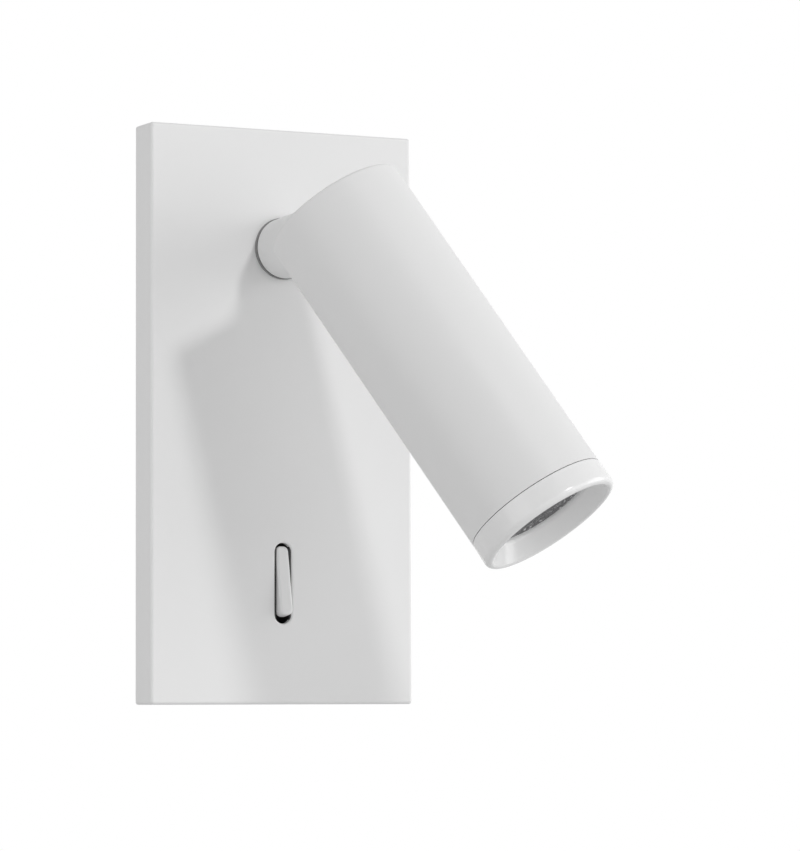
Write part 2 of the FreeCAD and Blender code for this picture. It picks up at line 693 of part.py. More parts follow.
def make_driver():
    shell_height = DRIVER_HEIGHT + " - driver_lid"
    low_y = "-bracket_sheet - " + DRIVER_HEIGHT + " + driver_lid"
    shell = box("driver_shell", (DRIVER_LEFT, low_y, DRIVER_LOW), ("driver_width", shell_height, "driver_length"))
    hollow = box("driver_hollow", (DRIVER_LEFT + " + driver_wall", low_y, DRIVER_LOW + " + driver_wall"),
                 ("driver_width - 2 * driver_wall", shell_height + " - driver_wall",
                  "driver_length - 2 * driver_wall"))
    node(cut("driver_case_body", shell, hollow), "driver_case")
    lid_y = "-bracket_sheet - " + DRIVER_HEIGHT
    node(box("driver_lid_plate", (DRIVER_LEFT, lid_y, DRIVER_LOW),
             ("driver_width", "driver_lid", "driver_length")), "driver_lid")
    gap = "driver_wall + side_gap"
    board_y = "-bracket_sheet - driver_wall - driver_board"
    node(box("driver_board_plate", (DRIVER_LEFT + " + " + gap, board_y, DRIVER_LOW + " + " + gap),
             ("driver_width - 2 * (%s)" % gap, "driver_board", "driver_length - 2 * (%s)" % gap)), "driver_board")
    room = DRIVER_HEIGHT + " - driver_lid - driver_wall - driver_board - side_gap"
    coil_low = (DRIVER_LEFT + " + driver_width / 2 - coil_width / 2", board_y + " - (%s)" % room,
                DRIVER_LOW + " + driver_length * 0.6")
    core = box("coil_core", coil_low, ("coil_width", room, "coil_length"))
    window = box("coil_window", (coil_low[0], coil_low[1], coil_low[2] + " + coil_length * 0.3"),
                 ("coil_width * 0.15", room, "coil_length * 0.4"))
    node(cut("coil_body", core, window), "driver_coil")
    can_foot = (DRIVER_LEFT + " + driver_width / 2", board_y + " - capacitor_radius - seat_gap",
                DRIVER_LOW + " + driver_length * 0.2")
    node(cylinder("capacitor_can", "capacitor_radius", "capacitor_length", can_foot), "driver_capacitor")


# Switch: a housing screwed to two pads of the plate, a rocker on a pin and a contact spring under its nose.
def make_switch():
    top = "plate_skin + seat_gap"
    depth = "(plate_depth - plate_skin - seat_gap - bracket_sheet - side_gap)"
    shell = box("housing_shell", ("-housing_width / 2", top, "-housing_length / 2"),
                ("housing_width", depth, "housing_length"))
    ears = box("housing_ears", ("-ear_width / 2", "plate_skin + pad_height", "-housing_length / 2 - ear_length"),
               ("ear_width", "ear_thickness", "housing_length + 2 * ear_length"))
    rail_height = top + " + housing_floor - rail_recess"
    rail_radius = "(slot_width / 2 - running_gap)"
    rails = [box("rail_block", ("-" + rail_radius, "rail_recess", "-(slot_length - slot_width) / 2"),
                 ("2 * " + rail_radius, rail_height, "slot_length - slot_width"))]
    for name, sign in (("upper", ""), ("lower", "-")):
        rails.append(cylinder(name + "_rail_end", rail_radius, rail_height,
                              ("0", "rail_recess", sign + "(slot_length - slot_width) / 2"), "+y"))
    cavity = box("housing_cavity", ("-housing_cavity_width / 2", "0", "-housing_cavity_length / 2"),
                 ("housing_cavity_width", "%s + %s - housing_floor" % (top, depth), "housing_cavity_length"))
    pin_hole = cylinder("housing_pin_hole", "pin_radius + thread_gap", "housing_width",
                        ("-housing_width / 2", "pin_depth", "0"), "+x")
    holes = []
    screws = []
    for name, sign in (("upper", ""), ("lower", "-")):
        z = sign + "pad_from_middle"
        holes.append(cylinder(name + "_ear_hole", "switch_screw_radius + running_gap", "ear_thickness",
                              ("0", "plate_skin + pad_height", z), "+y"))
        seat = "plate_skin + pad_height + ear_thickness"
        stem = cylinder(name + "_switch_stem", "switch_screw_radius", "ear_thickness + pad_height + 0.3 * plate_skin",
                        ("0", seat, z), "-y")
        head = cylinder(name + "_switch_head", "switch_screw_head_radius", "switch_screw_head", ("0", seat, z), "+y")
        cross = box(name + "_switch_cross", ("-switch_screw_radius", seat + " + switch_screw_head / 2",
                                             z + " - switch_screw_radius / 4"),
                    ("2 * switch_screw_radius", "switch_screw_head / 2", "switch_screw_radius / 2"))
        screws.append(cut(name + "_switch_screw", fuse(name + "_switch_blank", stem, head), cross))
    housing = cut("housing_body", fuse("housing_blank", shell, ears, *rails), cavity, pin_hole, *holes)
    node(housing, "switch_housing", SWITCH)
    node(group("switch_screw_pair", *screws), "switch_screws", SWITCH)
    rod = cylinder("rocker_pin_rod", "pin_radius", "housing_width - side_gap",
                   ("-housing_width / 2 + side_gap / 2", "pin_depth", "0"), "+x")
    node(group("rocker_pin_set", rod), "rocker_pin", SWITCH)
    floor = "(%s + %s - housing_floor)" % (top, depth)
    strip_y = "pin_depth + rocker_nose_reach + 2 * running_gap"
    strip_length = "(rocker_length - 2 * rocker_corner)"
    strip = box("contact_strip", ("-contact_width / 2", strip_y, "-%s / 2" % strip_length),
                ("contact_width", "contact_thickness", strip_length))
    feet = []
    for name, sign in (("upper", "1"), ("lower", "-1")):
        z = "%s * (%s / 2 - contact_thickness / 2) - contact_thickness / 2" % (sign, strip_length)
        feet.append(box(name + "_contact_foot", ("-contact_width / 2", strip_y, z),
                        ("contact_width", floor + " - (%s)" % strip_y, "contact_thickness")))
    node(fuse("contact_spring_body", strip, *feet), "contact_spring", SWITCH)
    tab_y = "plate_depth / 2 - tab_thickness / 2"
    right_tab = box("right_tab", ("housing_width / 2", tab_y, "tab_from_middle - tab_width / 2"),
                    ("tab_length", "tab_thickness", "tab_width"))
    left_tab = box("left_tab", ("-housing_width / 2 - tab_length", tab_y, "-tab_from_middle - tab_width / 2"),
                   ("tab_length", "tab_thickness", "tab_width"))
    node(group("switch_tab_pair", right_tab, left_tab), "switch_terminals", SWITCH)


def make_rocker():
    """A moulded rocker: a paddle with rounded corners on a hub, with a nose that works the contact spring."""
    body = new_body("rocker")
    outline = sketch_on(body, "paddle_outline", "XZ_Plane", "rocker_face_from_pin - rocker_thickness")
    rectangle(outline, "-rocker_width / 2", "-rocker_length / 2", "rocker_width / 2", "rocker_length / 2")
    feature(body, "Pad", "paddle", outline, "rocker_thickness")
    rounded(body, "paddle_corners", "rocker_corner", lambda edge: runs_along(edge, "rocker_thickness"))
    rounded(body, "paddle_face_edges", "rocker_edge", lambda edge: lies_in(edge, "-rocker_face_from_pin"))
    hub = sketch_on(body, "hub_outline", "YZ_Plane")
    circle(hub, "0", "0", "rocker_hub_radius")
    feature(body, "Pad", "hub", hub, "rocker_width", side="Symmetric")
    web = sketch_on(body, "web_outline", "YZ_Plane")
    rectangle(web, "-rocker_face_from_pin + rocker_thickness / 2", "-rocker_hub_radius", "0", "rocker_hub_radius")
    feature(body, "Pad", "hub_web", web, "rocker_width", side="Symmetric")
    nose = sketch_on(body, "nose_outline", "YZ_Plane")
    rectangle(nose, "0", "-rocker_nose_width / 2", "rocker_nose_reach - rocker_nose_width / 2",
              "rocker_nose_width / 2")
    feature(body, "Pad", "nose_stem", nose, "rocker_width / 2", side="Symmetric")
    tip = sketch_on(body, "nose_tip_outline", "YZ_Plane")
    circle(tip, "rocker_nose_reach - rocker_nose_width / 2", "0", "rocker_nose_width / 2")
    feature(body, "Pad", "nose_tip", tip, "rocker_width / 2", side="Symmetric")
    bore = sketch_on(body, "rocker_bore_outline", "YZ_Plane")
    circle(bore, "0", "0", "pin_radius + running_gap")
    feature(body, "Pocket", "rocker_bore", bore, "2 * rocker_width", side="Symmetric")
    return node(body, "rocker", ROCKER)


# Neck: a turned arm whose shank passes through the plate, with a flat tongue that carries the tilt bolt. The
# washers and the nut stand behind the plate's skin in this order: slide washer, stop washer, wave washer, nut.
SLIDE_Y = "(plate_skin + seat_gap)"
STOP_Y = "(plate_skin + 2 * seat_gap + slide_washer_thickness)"
WAVE_Y = "(plate_skin + 3 * seat_gap + slide_washer_thickness + stop_washer_thickness)"
NUT_Y = "(plate_skin + 4 * seat_gap + slide_washer_thickness + stop_washer_thickness + wave_washer_thickness)"
SHANK_END = "(%s + neck_nut_thickness + shank_past_nut)" % NUT_Y


def make_neck_arm():
    body = new_body("neck_arm")
    section = sketch_on(body, "neck_section", "XY_Plane")
    polygon(section, [
        ("0", SHANK_END),
        ("shank_radius", SHANK_END),
        ("shank_radius", "-neck_foot_gap"),
        ("neck_radius", "-neck_foot_gap"),
        ("neck_shoulder_radius", "-neck_length"),
        ("0", "-neck_length"),
    ])
    turned(body, "neck_stem", section)
    rounded(body, "neck_foot_edge", "neck_foot_round",
            lambda edge: is_circle(edge, "neck_radius", "-neck_foot_gap", "y"))
    rounded(body, "neck_shoulder_edge", "neck_shoulder_round",
            lambda edge: is_circle(edge, "neck_shoulder_radius", "-neck_length", "y"))
    tongue = sketch_on(body, "tongue_outline", "YZ_Plane")
    rectangle(tongue, "-pivot_reach", "-tongue_half_width", "-neck_length + neck_shoulder_round",
              "tongue_half_width")
    feature(body, "Pad", "tongue", tongue, "tongue_thickness", side="Symmetric")
    tongue_end = sketch_on(body, "tongue_end_outline", "YZ_Plane")
    circle(tongue_end, "-pivot_reach", "0", "tongue_half_width")
    feature(body, "Pad", "tongue_end", tongue_end, "tongue_thickness", side="Symmetric")
    pivot = sketch_on(body, "pivot_outline", "YZ_Plane")
    circle(pivot, "-pivot_reach", "0", "tilt_bolt_radius")
    feature(body, "Pocket", "pivot_hole", pivot, "2 * tongue_thickness", side="Symmetric")
    flats = sketch_on(body, "shank_flat_outline", "XZ_Plane", "-" + SHANK_END)
    rectangle(flats, "shank_flat", "-shank_radius", "2 * shank_radius", "shank_radius")
    rectangle(flats, "-2 * shank_radius", "-shank_radius", "-shank_flat", "shank_radius")
    feature(body, "Pocket", "shank_flats", flats, SHANK_END + " - plate_skin", reverse=True)
    bore = sketch_on(body, "neck_bore_outline", "XZ_Plane", "-" + SHANK_END)
    circle(bore, "0", "0", "neck_bore_radius")
    feature(body, "Pocket", "neck_bore", bore, SHANK_END + " + pivot_reach", reverse=True)
    return node(body, "neck_arm", NECK)


def shank_ring(name, outer, height, foot, label):
    """A washer on the shank with two flats in its hole, like the shank's own."""
    disc = cylinder(name + "_disc", outer, height, ("0", foot, "0"), "+y")
    hole = cylinder(name + "_hole", "shank_radius + running_gap", height, ("0", foot, "0"), "+y")
    node(cut(name + "_body", disc, hole), label, NECK)


def make_neck_stack():
    foot = ("0", "0", "0")
    node(ring("friction_washer_ring", "friction_washer_radius", "shank_radius + running_gap",
              "friction_washer_thickness", foot, "-y"), "friction_washer", NECK_UPRIGHT)
    shank_ring("slide_washer", "slide_washer_radius", "slide_washer_thickness", SLIDE_Y, "slide_washer")
    shank_ring("wave_washer", "wave_washer_radius", "wave_washer_thickness", WAVE_Y, "wave_washer")
    disc = cylinder("stop_disc", "slide_washer_radius", "stop_washer_thickness", ("0", STOP_Y, "0"), "+y")
    tab = box("stop_tab", ("-stop_tab_width / 2", STOP_Y, "-stop_tab_reach"),
              ("stop_tab_width", "stop_washer_thickness", "stop_tab_reach - (slide_washer_radius + shank_radius) / 2"))
    hole = cylinder("stop_hole", "shank_radius + running_gap", "stop_washer_thickness", ("0", STOP_Y, "0"), "+y")
    flat_hole = box("stop_flats", ("-shank_flat - running_gap", STOP_Y, "-shank_radius - running_gap"),
                    ("2 * (shank_flat + running_gap)", "stop_washer_thickness", "2 * (shank_radius + running_gap)"))
    keyed = doc.addObject("Part::Common", "stop_keyed_hole")
    keyed.Base = hole
    keyed.Tool = flat_hole
    node(cut("stop_washer_body", fuse("stop_blank", disc, tab), keyed), "stop_washer", NECK)
    nut = hexagon("neck_nut_blank", "neck_nut_across", "neck_nut_thickness", ("0", NUT_Y, "0"), "+y")
    bore = cylinder("neck_nut_bore", "shank_radius + thread_gap", "neck_nut_thickness", ("0", NUT_Y, "0"), "+y")
    node(cut("neck_nut_body", nut, bore), "neck_nut", NECK)


# Tilt hinge: a hollow bolt fixed in the tongue, with the cable in its bore. Friction comes from the washers
# outside the cheeks, under the nut's spring washer.
CHEEK_IN = "(tongue_thickness / 2 + cheek_gap)"
CHEEK_OUT = "(tongue_thickness / 2 + cheek_gap + cheek_thickness)"
WASHER_OUT = "(%s + 2 * seat_gap + tilt_washer_thickness)" % CHEEK_OUT
NUT_X = "(%s + 2 * seat_gap + spring_washer_thickness)" % WASHER_OUT
BOLT_END = "(%s + tilt_nut_thickness + side_gap)" % NUT_X


def make_tilt_hinge():
    pivot_y = "-pivot_reach"
    stem = cylinder("tilt_stem", "tilt_bolt_radius", "%s + %s" % (WASHER_OUT, BOLT_END),
                    ("-" + WASHER_OUT, pivot_y, "0"), "+x")
    head = cylinder("tilt_head", "tilt_bolt_head_radius", "tilt_bolt_head", ("-" + WASHER_OUT, pivot_y, "0"), "-x")
    bore = cylinder("tilt_bore", "neck_bore_radius", BOLT_END, ("0", pivot_y, "0"), "+x")
    window = box("tilt_window", ("-neck_bore_radius", pivot_y, "-neck_bore_radius"),
                 ("tongue_thickness / 2 + neck_bore_radius - side_gap", "tilt_bolt_radius", "2 * neck_bore_radius"))
    socket = hexagon("tilt_socket", "tilt_bolt_radius", "tilt_bolt_head / 2",
                     ("-%s - tilt_bolt_head" % WASHER_OUT, pivot_y, "0"), "+x")
    node(cut("tilt_bolt_body", fuse("tilt_bolt_blank", stem, head), bore, window, socket), "tilt_bolt", NECK)
    rings = []
    for name, start, axis in (("left", "-%s - seat_gap" % CHEEK_OUT, "-x"), ("right", CHEEK_OUT + " + seat_gap", "+x")):
        rings.append(ring(name + "_tilt_washer", "tilt_washer_radius", "tilt_bolt_radius + running_gap",
                          "tilt_washer_thickness", (start, pivot_y, "0"), axis))
    node(group("tilt_washer_pair", *rings), "tilt_washers", NECK)
    node(ring("spring_washer_ring", "tilt_bolt_head_radius", "tilt_bolt_radius + running_gap",
              "spring_washer_thickness", (WASHER_OUT + " + seat_gap", pivot_y, "0"), "+x"), "spring_washer", NECK)
    nut = hexagon("tilt_nut_blank", "tilt_nut_across", "tilt_nut_thickness", (NUT_X, pivot_y, "0"), "+x")
    bore_of_nut = cylinder("tilt_nut_bore", "tilt_bolt_radius + thread_gap", "tilt_nut_thickness",
                           (NUT_X, pivot_y, "0"), "+x")
    node(cut("tilt_nut_body", nut, bore_of_nut), "tilt_nut", NECK)


# Head: everything is placed from the pivot. The tube's axis is Z, its rear is up and its seam is down.
SEAM = "(head_length - head_behind_pivot)"
SINK_FRONT = "(%s - sink_from_seam)" % SEAM
SINK_REAR = "(%s - sink_length)" % SINK_FRONT
BORE_REAR = "(head_radius - head_wall - head_rear_wall_extra)"
BORE_FRONT = "(head_radius - head_wall)"
SLOT_HALF = "(tongue_thickness / 2 + head_slot_play)"
SLOT_REACH = "(tongue_half_width + head_slot_past_tongue)"
YOKE_RADIUS = "(%s - seat_gap)" % BORE_REAR
YOKE_TOP = "-yoke_disc_from_pivot"
SCREW_Z = "(-yoke_disc_from_pivot - yoke_disc_thickness / 2)"


def make_head_tube():
    body = new_body("head_tube")
    section = sketch_on(body, "tube_section", "XZ_Plane")
    polygon(section, [
        ("0", "head_behind_pivot"),
        ("head_radius", "head_behind_pivot"),
        ("head_radius", "-" + SEAM),
        (BORE_FRONT, "-" + SEAM),
        (BORE_FRONT, "-" + SINK_REAR),
        (BORE_REAR, "-" + SINK_REAR),
        (BORE_REAR, "head_behind_pivot - head_rear_skin"),
        ("0", "head_behind_pivot - head_rear_skin"),
    ])
    turned(body, "tube_shell", section)
    rounded(body, "tube_rear_edge", "head_rear_round",
            lambda edge: is_circle(edge, "head_radius", "head_behind_pivot", "z"))
    slot = sketch_on(body, "tube_slot_outline", "YZ_Plane")
    rectangle(slot, "-" + SLOT_REACH, "-" + SLOT_REACH, "head_radius + 1", "head_behind_pivot + 1")
    feature(body, "Pocket", "tube_slot", slot, "2 * " + SLOT_HALF, side="Symmetric")
    screw = sketch_on(body, "tube_screw_outline", "XZ_Plane")
    circle(screw, "0", SCREW_Z, "yoke_screw_radius + thread_gap")
    feature(body, "Pocket", "tube_screw_hole", screw, "head_radius + 1")
    return node(body, "head_tube", HEAD)


def make_tilt_yoke():
    """A disc across the tube with two cheeks that hold the tongue."""
    body = new_body("tilt_yoke")
    disc = sketch_on(body, "yoke_disc_outline", "XY_Plane", YOKE_TOP)
    circle(disc, "0", "0", YOKE_RADIUS)
    feature(body, "Pad", "yoke_disc", disc, "yoke_disc_thickness", reverse=True)
    cheeks = sketch_on(body, "cheek_outline", "XY_Plane", YOKE_TOP)
    rectangle(cheeks, CHEEK_IN, "-cheek_half_width", CHEEK_OUT, "cheek_half_width")
    rectangle(cheeks, "-" + CHEEK_OUT, "-cheek_half_width", "-" + CHEEK_IN, "cheek_half_width")
    feature(body, "Pad", "cheeks", cheeks,
            "yoke_disc_from_pivot + head_behind_pivot - head_rear_skin - seat_gap")
    pivot = sketch_on(body, "yoke_pivot_outline", "YZ_Plane")
    circle(pivot, "0", "0", "tilt_bolt_radius + running_gap")
    feature(body, "Pocket", "yoke_pivot", pivot, "4 * " + CHEEK_OUT, side="Symmetric")
    notch = sketch_on(body, "yoke_notch_outline", "XY_Plane", YOKE_TOP)
    circle(notch, CABLE_X, "0", "cable_diameter / 2 + side_gap")
    feature(body, "Pocket", "yoke_notch", notch, "yoke_disc_thickness + 1")
    screw = sketch_on(body, "yoke_screw_outline", "XZ_Plane")
    circle(screw, "0", SCREW_Z, "yoke_screw_radius + thread_gap")
    feature(body, "Pocket", "yoke_screw_hole", screw, "head_radius + 1")
    return node(body, "tilt_yoke", HEAD)


def make_yoke_screw():
    foot = ("0", "head_radius - yoke_screw_recess", SCREW_Z)
    stem = cylinder("yoke_screw_stem", "yoke_screw_radius", "yoke_screw_length", foot, "-y")
    socket = hexagon("yoke_screw_socket", "yoke_screw_radius", "yoke_screw_radius", foot, "-y")
    node(cut("yoke_screw_body", stem, socket), "yoke_screw", HEAD)


CABLE_X = "(%s - cable_diameter / 2 - side_gap)" % BORE_REAR
SINK_CABLE_X = "(sink_core_radius * 0.6)"


def make_heat_sink():
    """A turned aluminium plug with fins round a solid core and a flat front for the board."""
    body = new_body("heat_sink")
    blank = sketch_on(body, "sink_outline", "XY_Plane", "-" + SINK_FRONT)
    circle(blank, "0", "0", BORE_FRONT + " - seat_gap")
    feature(body, "Pad", "sink_blank", blank, "sink_length - seat_gap")
    fin_gap = sketch_on(body, "sink_slot_outline", "XY_Plane", "-" + SINK_REAR)
    rectangle(fin_gap, "sink_core_radius", "-sink_slot / 2", "head_radius", "sink_slot / 2")
    gap = feature(body, "Pocket", "sink_slot_cut", fin_gap, "sink_length - sink_base")
    doc.recompute()
    fins = body.newObject("PartDesign::PolarPattern", "sink_fin_slots")
    fins.Originals = [gap]
    axis = next(item for item in body.Origin.OriginFeatures if item.Role == "Z_Axis")
    fins.Axis = (axis, [""])
    fins.Angle = 360
    bind(fins, Occurrences="sink_fins")
    body.Tip = fins
    holes = sketch_on(body, "sink_hole_outline", "XY_Plane", "-" + SINK_REAR)
    circle(holes, SINK_CABLE_X, "0", "cable_diameter / 2 + side_gap")
    feature(body, "Pocket", "sink_cable_hole", holes, "sink_length + 1")
    taps = sketch_on(body, "sink_tap_outline", "XY_Plane", "-" + SINK_FRONT)
    circle(taps, "0", "board_screw_from_axis", "board_screw_radius + thread_gap")
    circle(taps, "0", "-board_screw_from_axis", "board_screw_radius + thread_gap")
    feature(body, "Pocket", "sink_taps", taps, "board_screw_length", reverse=True)
    return node(body, "heat_sink", HEAD)


def make_light_source():
    rear = "-" + SINK_FRONT
    board = cylinder("board_disc", "board_radius", "board_thickness", ("0", "0", rear), "-z")
    holes = [cylinder("board_cable_hole", "cable_diameter / 2 + side_gap", "board_thickness",
                      (SINK_CABLE_X, "0", rear), "-z")]
    screws = []
    face = "%s - board_thickness" % rear
    for name, sign in (("upper", ""), ("lower", "-")):
        y = sign + "board_screw_from_axis"
        holes.append(cylinder(name + "_board_hole", "board_screw_radius + running_gap", "board_thickness",
                              ("0", y, rear), "-z"))
        stem = cylinder(name + "_board_stem", "board_screw_radius", "board_thickness + board_screw_length - side_gap",
                        ("0", y, face), "+z")
        head = cylinder(name + "_board_head", "board_screw_head_radius", "board_screw_head", ("0", y, face), "-z")
        screws.append(fuse(name + "_board_screw", stem, head))
    node(cut("board_body", board, *holes), "led_board", HEAD)
    node(group("board_screw_pair", *screws), "board_screws", HEAD)
    base = box("chip_base", ("-chip_side / 2", "-chip_side / 2", face + " - chip_thickness"),
               ("chip_side", "chip_side", "chip_thickness"))
    dome = cylinder("chip_dome_disc", "chip_dome_radius", "chip_dome", ("0", "0", face + " - chip_thickness"), "-z")
    node(fuse("chip_body", base, dome), "led_chip", HEAD)


# Optics, measured along the axis from the pivot towards the front.
THROAT = "(%s + bezel_length - bezel_throat_depth)" % SEAM
LAND_REAR = "(%s - bezel_throat_land)" % THROAT
FLANGE_FRONT = "(%s - gasket_thickness)" % LAND_REAR
FLANGE_REAR = "(%s - lens_flange)" % FLANGE_FRONT
CHIP_FRONT = "(%s + board_thickness + chip_thickness + chip_dome)" % SINK_FRONT
LENS_TAIL = "(%s + side_gap)" % CHIP_FRONT
HOLDER_RADIUS = "(lens_flange_radius + holder_wall)"
BEZEL_BORE = "(lens_flange_radius + holder_wall + side_gap)"


def make_optics():
    body = new_body("lens")
    section = sketch_on(body, "lens_section", "XZ_Plane")
    polygon(section, [
        ("0", "-" + LENS_TAIL),
        ("lens_tail_radius", "-" + LENS_TAIL),
        ("lens_face_radius", "-" + FLANGE_REAR),
        ("lens_flange_radius", "-" + FLANGE_REAR),
        ("lens_flange_radius", "-" + FLANGE_FRONT),
        ("lens_face_radius", "-" + FLANGE_FRONT),
        ("lens_face_radius", "-%s - lens_face_rise" % FLANGE_FRONT),
        ("0", "-%s - lens_face_rise" % FLANGE_FRONT),
    ])
    turned(body, "lens_solid", section)
    node(body, "lens", HEAD)
    body = new_body("lens_holder")
    section = sketch_on(body, "holder_section", "XZ_Plane")
    polygon(section, [
        ("board_radius + side_gap", "-" + SINK_FRONT),
        (HOLDER_RADIUS, "-" + SINK_FRONT),
        (HOLDER_RADIUS, "-" + FLANGE_FRONT),
        ("lens_flange_radius + seat_gap", "-" + FLANGE_FRONT),
        ("lens_flange_radius + seat_gap", "-" + FLANGE_REAR),
        ("lens_face_radius + side_gap", "-" + FLANGE_REAR),
        ("board_radius + side_gap", "-%s + 1.2 * (lens_face_radius - board_radius)" % FLANGE_REAR),
    ])
    turned(body, "holder_ring", section)
    node(body, "lens_holder", HEAD)
    node(ring("gasket_ring", "lens_flange_radius", "lens_face_radius + side_gap", "gasket_thickness - 2 * seat_gap",
              ("0", "0", "-%s - seat_gap" % FLANGE_FRONT), "-z"), "lens_gasket", HEAD)


def make_bezel():
    """A moulded ring: a threaded spigot, a rounded lip and a white cone down to the lens."""
    body = new_body("bezel")
    section = sketch_on(body, "bezel_section", "XZ_Plane")
    front = "-%s - bezel_length" % SEAM
    spigot_rear = "-%s + bezel_spigot" % SEAM
    polygon(section, [
        ("head_radius", "-%s - bezel_seam" % SEAM),
        ("bezel_lip_radius", front),
        ("bezel_mouth_radius", front),
        ("bezel_throat_radius", "-" + THROAT),
        ("bezel_throat_radius", "-" + LAND_REAR),
        (BEZEL_BORE, "-" + LAND_REAR),
        (BEZEL_BORE, spigot_rear),
        (BORE_FRONT + " - bezel_thread_gap", spigot_rear),
        (BORE_FRONT + " - bezel_thread_gap", "-%s - bezel_seam" % SEAM),
    ])
    turned(body, "bezel_ring", section)
    rounded(body, "bezel_outer_edge", "bezel_outer_round",
            lambda edge: is_circle(edge, "bezel_lip_radius", front, "z"))
    rounded(body, "bezel_inner_edge", "bezel_inner_round",
            lambda edge: is_circle(edge, "bezel_mouth_radius", front, "z"))
    rounded(body, "bezel_throat_edge", "bezel_throat_round",
            lambda edge: is_circle(edge, "bezel_throat_radius", "-" + THROAT, "z"))
    return node(body, "bezel", HEAD)


# Leads inside the plate, the cable through the neck and the cable in the head.
def make_leads():
    lead = value("lead_diameter")
    bend = value("lead_bend")
    low = "-plate_depth / 2"
    block_left = "(%s - block_width)" % BLOCK_RIGHT
    block_low = "-block_top - block_length"
    driver_right = "(%s + driver_width)" % DRIVER_LEFT
    driver_top = "(%s + driver_length)" % DRIVER_LOW
    tab_x = "(housing_width / 2 + tab_length)"
    cable("live_lead", [
        point(tab_x, low, "-switch_drop + tab_from_middle"),
        point(BLOCK_RIGHT + " - block_width / 2", low, "-switch_drop + tab_from_middle"),
        point(BLOCK_RIGHT + " - block_width / 2", low, block_low),
    ], lead, bend)
    cable("switched_lead", [
        point("-" + tab_x, low, "-switch_drop - tab_from_middle"),
        point(driver_right, low, "-switch_drop - tab_from_middle"),
    ], lead, bend)
    neutral_z = "-block_top - block_length / 4"
    cable("neutral_lead", [
        point(block_left, low, neutral_z),
        point(block_left + " / 3", low, neutral_z),
        point(driver_right + " / 3", low, neutral_z + " - lead_bend / 2"),
        point(driver_right, low, neutral_z + " - lead_bend / 2"),
    ], lead, bend)
    cable("earth_lead", [
        point(block_left + " + terminal_pitch / 2", low, "-block_top"),
        point(block_left + " + terminal_pitch / 2", low, "-block_top / 2"),
        point("earth_screw_x", BARREL_Y, "0"),
        point("earth_screw_x", BARREL_Y, BARREL_LOW),
    ], lead, bend)
    thick = value("cable_diameter")
    deep = "-cable_diameter / 2 - 2 * side_gap"
    mouth = "-plate_depth + %s + joint_gap" % SHANK_END
    cable_x = "(%s + driver_width * 0.75)" % DRIVER_LEFT
    level = "-bracket_sheet - cable_diameter / 2 - side_gap"
    cable("driver_output_cable", [
        point(cable_x, low, driver_top),
        point(cable_x, low, driver_top + " + lead_bend"),
        point(cable_x, level, driver_top + " + 4 * lead_bend"),
        point(cable_x, level, "neck_rise"),
        point("-neck_window + cable_diameter", level, "neck_rise"),
        point("-neck_window / 2", deep, "neck_rise"),
        point("0", deep, "neck_rise"),
        point("0", mouth, "neck_rise"),
    ], thick, bend)
    cable("neck_cable", [
        point("0", SHANK_END, "0"),
        point("0", "-pivot_reach", "0"),
        point(BOLT_END, "-pivot_reach", "0"),
    ], thick, value("tongue_thickness / 2 + 1.4"), NECK)
    cable("head_cable", [
        point(BOLT_END + " + joint_gap", "0", "0"),
        point(CABLE_X, "0", "0"),
        point(CABLE_X, "0", "%s - 14" % YOKE_TOP),
        point(SINK_CABLE_X, "0", "-%s + 10" % SINK_REAR),
        point(SINK_CABLE_X, "0", "-%s - board_thickness / 2" % SINK_FRONT),
    ], thick, bend, HEAD)


make_wall_plate()
make_wall_bracket()
make_cover_screws()
make_cable_grommet()
make_terminal_block()
make_earth_tag()
make_driver()
make_switch()
make_rocker()
make_neck_arm()
make_neck_stack()
make_tilt_hinge()
make_head_tube()
make_tilt_yoke()
make_yoke_screw()
make_heat_sink()
make_light_source()
make_optics()
make_bezel()
make_leads()
doc.recompute()

failed = [thing.Name for thing in doc.Objects if {"Invalid", "Error"} & set(thing.State)]
for label, thing in NODES.items():
    if thing.Shape.isNull() or not thing.Shape.isValid() or not thing.Shape.Solids:
        failed.append(label)
if failed:
    raise RuntimeError("failed objects: " + ", ".join(failed))

os.makedirs("parts", exist_ok=True)
for label, thing in NODES.items():
    thing.Shape.exportStep("parts/%s.step" % label)
print("%d nodes written" % len(NODES))
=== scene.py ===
import json
import math

import bmesh
import bpy
from mathutils import Matrix, Vector, noise


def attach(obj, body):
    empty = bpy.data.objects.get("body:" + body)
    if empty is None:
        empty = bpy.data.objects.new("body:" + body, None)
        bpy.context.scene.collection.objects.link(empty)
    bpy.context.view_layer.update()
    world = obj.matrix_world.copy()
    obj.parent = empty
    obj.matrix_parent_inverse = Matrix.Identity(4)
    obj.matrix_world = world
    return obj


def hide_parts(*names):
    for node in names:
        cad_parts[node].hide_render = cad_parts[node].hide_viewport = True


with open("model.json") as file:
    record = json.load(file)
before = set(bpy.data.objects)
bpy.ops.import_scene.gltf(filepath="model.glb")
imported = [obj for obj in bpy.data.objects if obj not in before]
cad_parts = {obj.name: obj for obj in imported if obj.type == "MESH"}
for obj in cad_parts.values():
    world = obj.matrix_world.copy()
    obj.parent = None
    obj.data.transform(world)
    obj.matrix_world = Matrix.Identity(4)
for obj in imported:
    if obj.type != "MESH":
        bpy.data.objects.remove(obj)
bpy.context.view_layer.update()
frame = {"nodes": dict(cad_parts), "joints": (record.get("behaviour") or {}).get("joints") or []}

scene = bpy.context.scene

# Camera. It stands 1.15 m from the plate, to the left of its normal and a little below its
# middle, and looks slightly upwards through a long lens.
camera = bpy.data.objects.new("camera", bpy.data.cameras.new("camera"))
camera.data.lens = 172.881
camera.location = (-0.48583, -1.03442, -0.08240)
camera.rotation_euler = [math.radians(angle) for angle in (94.018, 0.228, -27.008)]
scene.collection.objects.link(camera)
scene.camera = camera
scene.view_settings.view_transform = "Standard"

